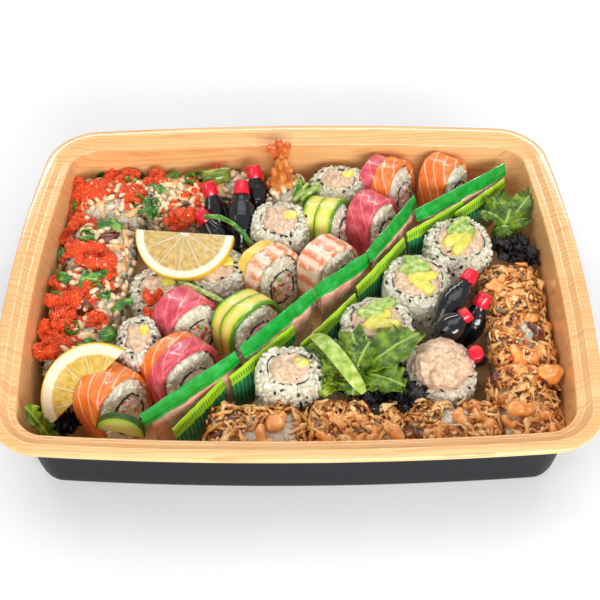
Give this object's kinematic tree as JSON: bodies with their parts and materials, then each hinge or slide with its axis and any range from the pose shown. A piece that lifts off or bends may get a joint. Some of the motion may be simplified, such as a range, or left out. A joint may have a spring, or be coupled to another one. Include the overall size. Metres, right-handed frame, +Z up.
{
  "type": "filled takeaway sushi tray",
  "caption": "Rectangular takeaway tray with a wide rim, filled with mixed sushi rolls, salad, lemon slices, soy bottles and condiment packs.",
  "frame": {"origin": "centre of the tray's underside, where it stands", "axes": "+X along the tray's long side to the right, +Y away from the near long side, +Z up"},
  "size_m": [0.3586, 0.272, 0.0775],
  "materials": {
    "wood_print": "glossy thermoformed sheet with a printed pine grain",
    "dark_shell": "satin outer face of the tray wall",
    "rice": "cooked rice, soft sheen",
    "seaweed": "moist dark sheet",
    "salmon": "wet raw fish with pale lines",
    "tuna": "wet raw fish",
    "avocado": "soft flesh, green edge",
    "prawn": "boiled prawn with orange bands",
    "mango": "ripe flesh",
    "filling": "flaked fish in mayonnaise",
    "crab": "shredded crab stick, red edge",
    "roe": "small wet eggs in clumps",
    "puffed_grain": "puffed and toasted",
    "fried_onion": "crisp oily shreds",
    "green_onion": "cut rings and stalk",
    "sesame": "small seeds",
    "sauce": "thick sauce in dabs",
    "batter": "crisp fried coat",
    "lemon": "waxy rind, pale pith and clear flesh",
    "cucumber": "pale flesh with a dark green skin",
    "pack_film": "clear film over pink slices",
    "pack_band": "printed sealed band",
    "ginger": "thin pickled slices",
    "sachet_film": "printed foil film with fine stripes",
    "soy_bottle": "clear bottle full of dark sauce",
    "bottle_cap": "moulded screw cap",
    "lettuce": "crisp frilled leaf",
    "dark_lettuce": "red-purple frilled leaf"
  },
  "bodies": {
    "root": {"avocado_roll_left": "avocado", "avocado_tuna_roll": "avocado", "cucumber_fan": "cucumber", "garden_roll_back": "rice", "garden_roll_front": "rice", "garden_roll_middle": "rice", "ginger_pack_1": "pack_film", "ginger_pack_2": "pack_film", "ginger_pack_3": "pack_film", "ginger_pack_4": "pack_film", "ginger_pack_5": "pack_film", "lemon_slice_back": "lemon", "lemon_slice_front": "lemon", "mayo_roll_back": "rice", "mayo_roll_front": "rice", "mayo_roll_left": "rice", "mayo_roll_lemon": "rice", "mayo_roll_middle": "rice", "onion_roll_back": "fried_onion", "onion_roll_corner": "fried_onion", "onion_roll_left": "fried_onion", "onion_roll_middle": "fried_onion", "onion_roll_right": "fried_onion", "onion_roll_side": "fried_onion", "onion_stalk": "green_onion", "paste_sachet_1": "sachet_film", "paste_sachet_2": "sachet_film", "paste_sachet_3": "sachet_film", "paste_sachet_4": "sachet_film", "paste_sachet_5": "sachet_film", "paste_sachet_6": "sachet_film", "prawn_mango_roll": "prawn", "prawn_roll": "prawn", "roe_roll_1": "roe", "roe_roll_2": "roe", "roe_roll_3": "roe", "roe_roll_back": "roe", "roe_roll_corner": "roe", "roe_roll_end": "roe", "salad_back": "lettuce", "salad_front": "lettuce", "salad_middle": "lettuce", "salmon_roll_back": "salmon", "salmon_roll_front": "salmon", "soy_bottle_1": "soy_bottle", "soy_bottle_2": "soy_bottle", "soy_bottle_3": "soy_bottle", "soy_bottle_4": "soy_bottle", "soy_bottle_5": "soy_bottle", "soy_bottle_6": "soy_bottle", "soy_bottle_7": "soy_bottle", "soy_bottle_8": "soy_bottle", "tempura_roll": "roe", "tray": "wood_print", "tuna_avocado_roll": "rice", "tuna_mound_roll": "rice", "tuna_roll_left": "tuna", "tuna_roll_right": "tuna", "tuna_salmon_roll_back": "tuna", "tuna_salmon_roll_front": "tuna"}
  },
  "joints": []
}
